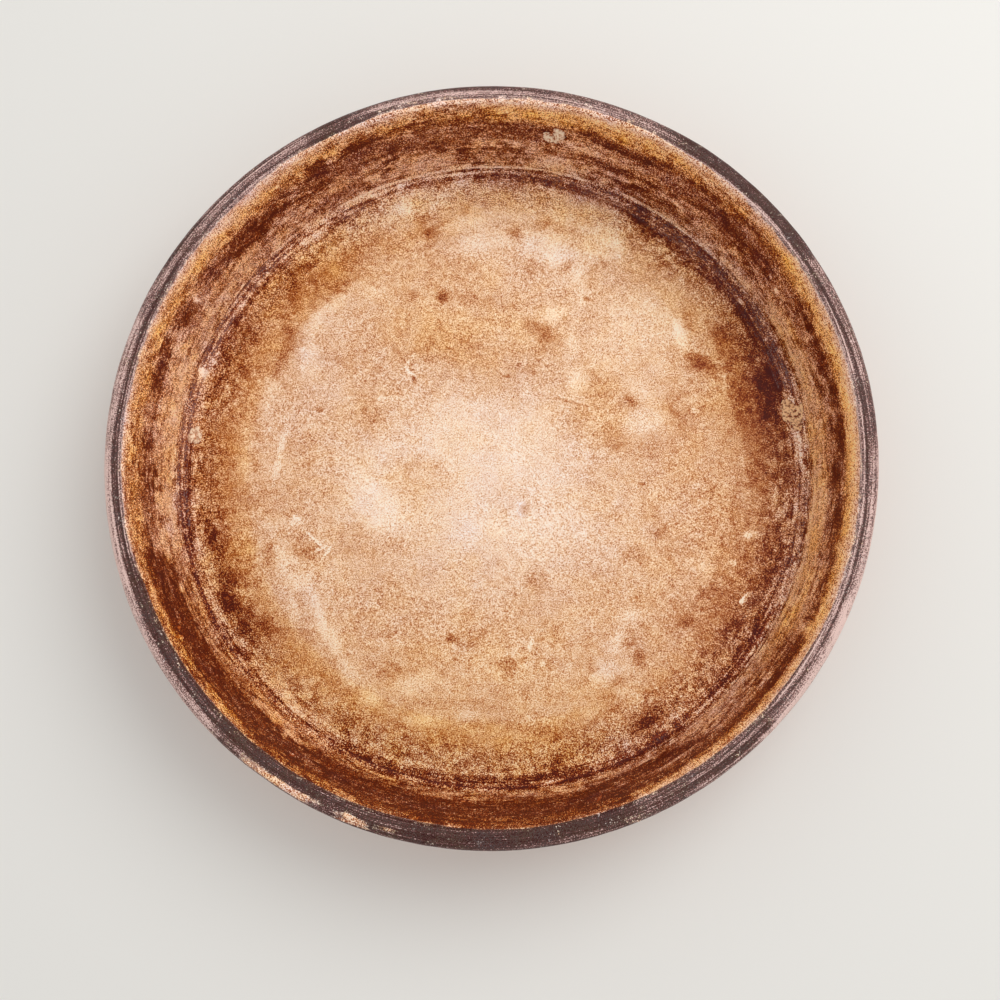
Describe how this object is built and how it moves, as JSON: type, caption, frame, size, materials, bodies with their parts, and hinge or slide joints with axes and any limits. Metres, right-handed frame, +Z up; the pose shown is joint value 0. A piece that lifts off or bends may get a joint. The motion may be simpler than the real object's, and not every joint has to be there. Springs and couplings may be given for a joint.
{
  "type": "deep round baking stone",
  "caption": "Deep round stoneware baking dish with a flat floor, flared wall and thick rounded lip, darkened by years of use.",
  "frame": {"origin": "middle of the plane that the dish stands on", "axes": "+Z up, out of the open top; +X to the right and +Y away as the picture shows it"},
  "size_m": [0.29, 0.29, 0.052],
  "materials": {
    "seasoned_stoneware": "unglazed stoneware, matt and grainy, with a dark baked-in seasoning that is satin on the wall and lip",
    "pale_crust": "dry baked-on crust, matt and crumbly",
    "brown_crust": "dry browned baked-on crust, matt and rough"
  },
  "bodies": {
    "root": {"stoneware_dish": "seasoned_stoneware", "upper_wall_crust": "pale_crust", "left_crease_crust": "pale_crust", "right_crease_crust": "brown_crust"}
  },
  "joints": []
}
